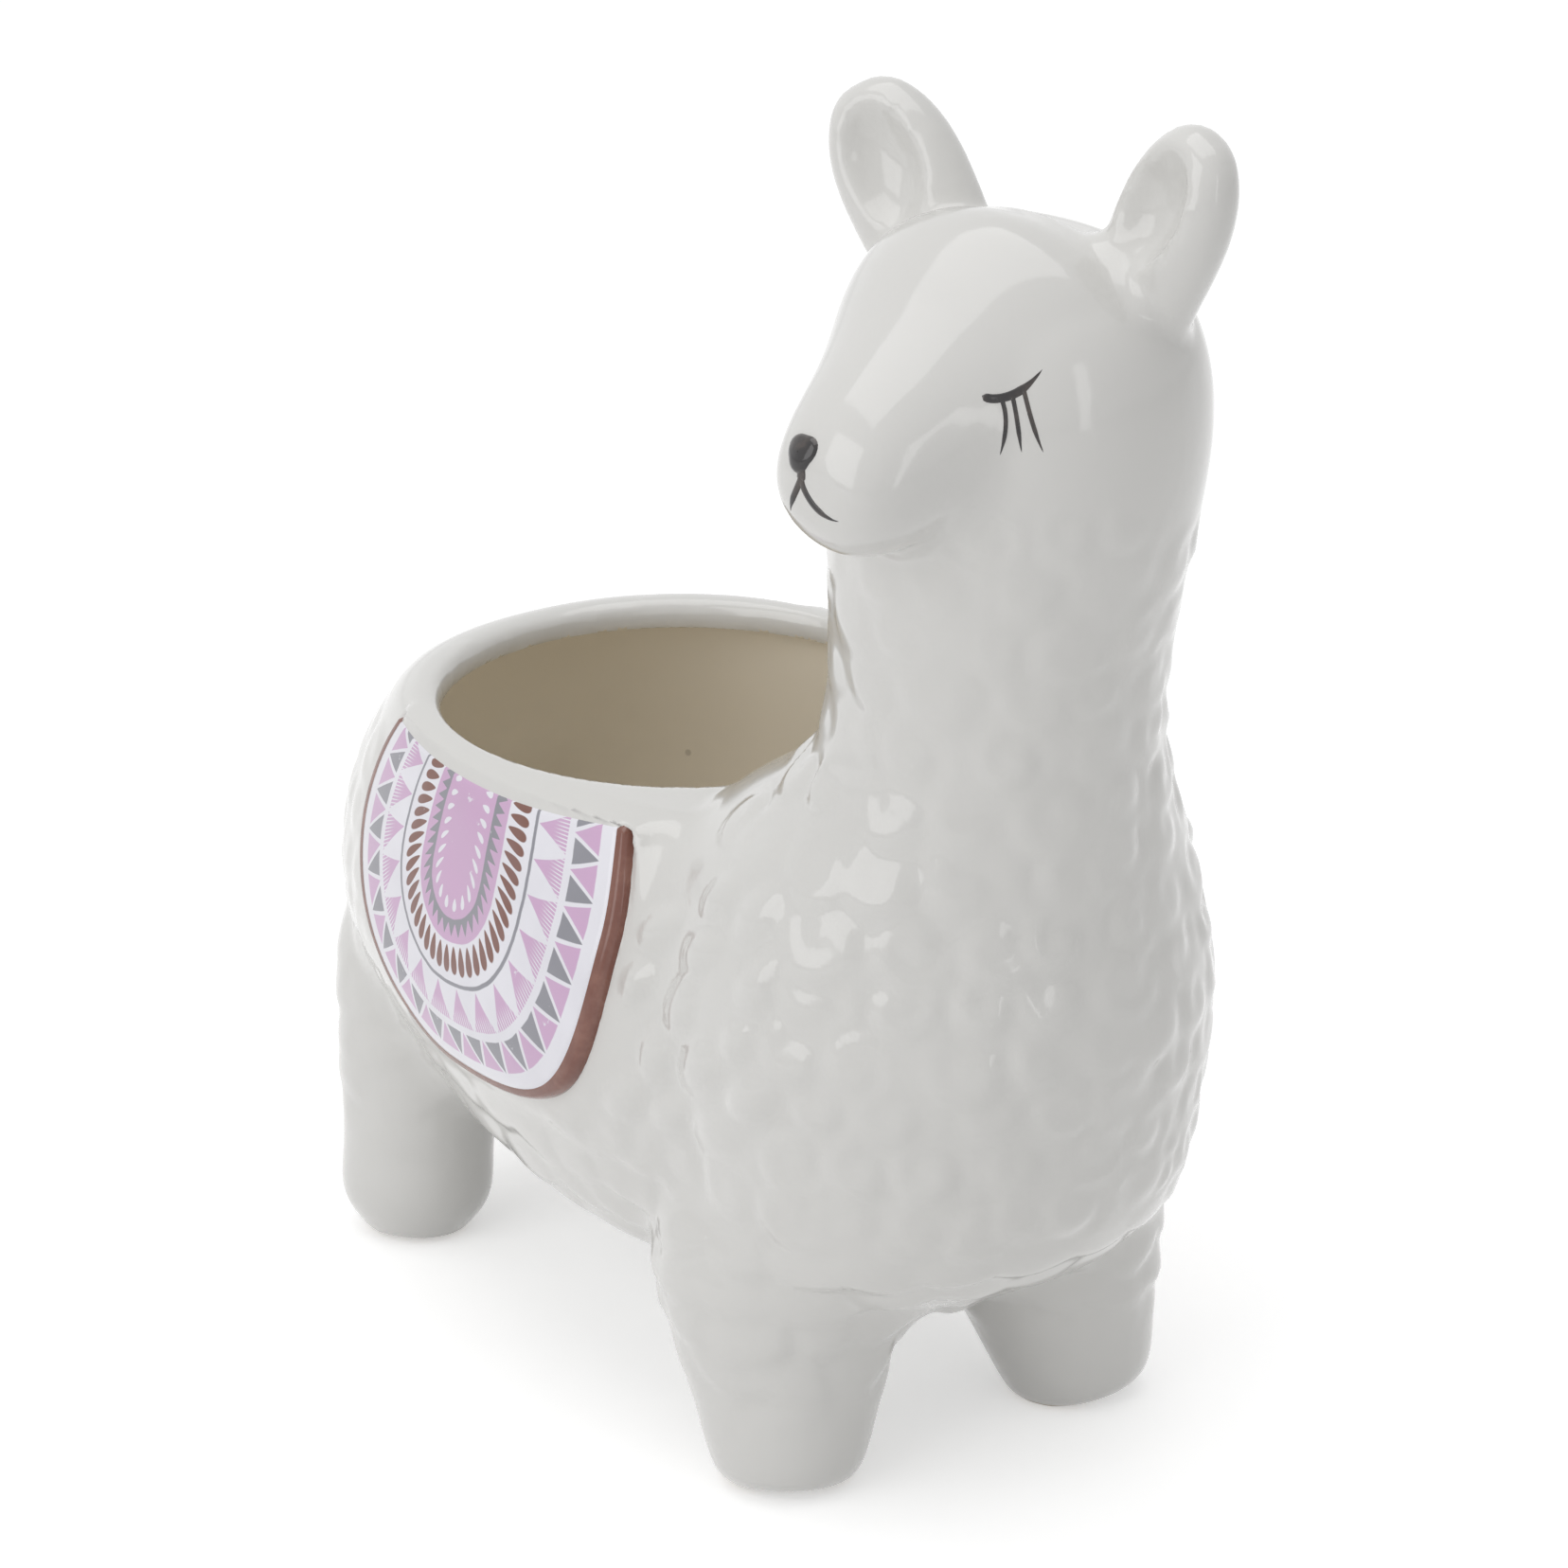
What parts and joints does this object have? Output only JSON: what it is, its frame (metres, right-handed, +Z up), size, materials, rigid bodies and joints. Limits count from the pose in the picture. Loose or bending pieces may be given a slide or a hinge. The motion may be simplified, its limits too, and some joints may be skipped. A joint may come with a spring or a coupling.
{
  "type": "animal shaped planter",
  "caption": "Glazed ceramic planter shaped as a standing llama, its head turned aside and an oval bowl open in its back.",
  "frame": {"origin": "on the floor under the middle of the planter's overall box", "axes": "+Z up; -Y the way the chest faces; +X the llama's left side, -X its right side, where the head looks"},
  "size_m": [0.0816, 0.1479, 0.1742],
  "materials": {
    "white_glaze": "very glossy clear glaze over white ware, with pressed wool curls",
    "blanket_transfer": "glossy fired transfer print in pink, grey and brown on white",
    "brown_border": "glossy brown painted border",
    "black_enamel": "glossy black brush enamel"
  },
  "bodies": {
    "root": {"planter_casting": "white_glaze", "blanket_transfer_right": "blanket_transfer", "blanket_transfer_left": "blanket_transfer", "blanket_border_right": "brown_border", "blanket_border_left": "brown_border", "nose_enamel": "black_enamel", "mouth_enamel": "black_enamel", "lashes_right": "black_enamel", "lashes_left": "black_enamel"}
  },
  "joints": []
}
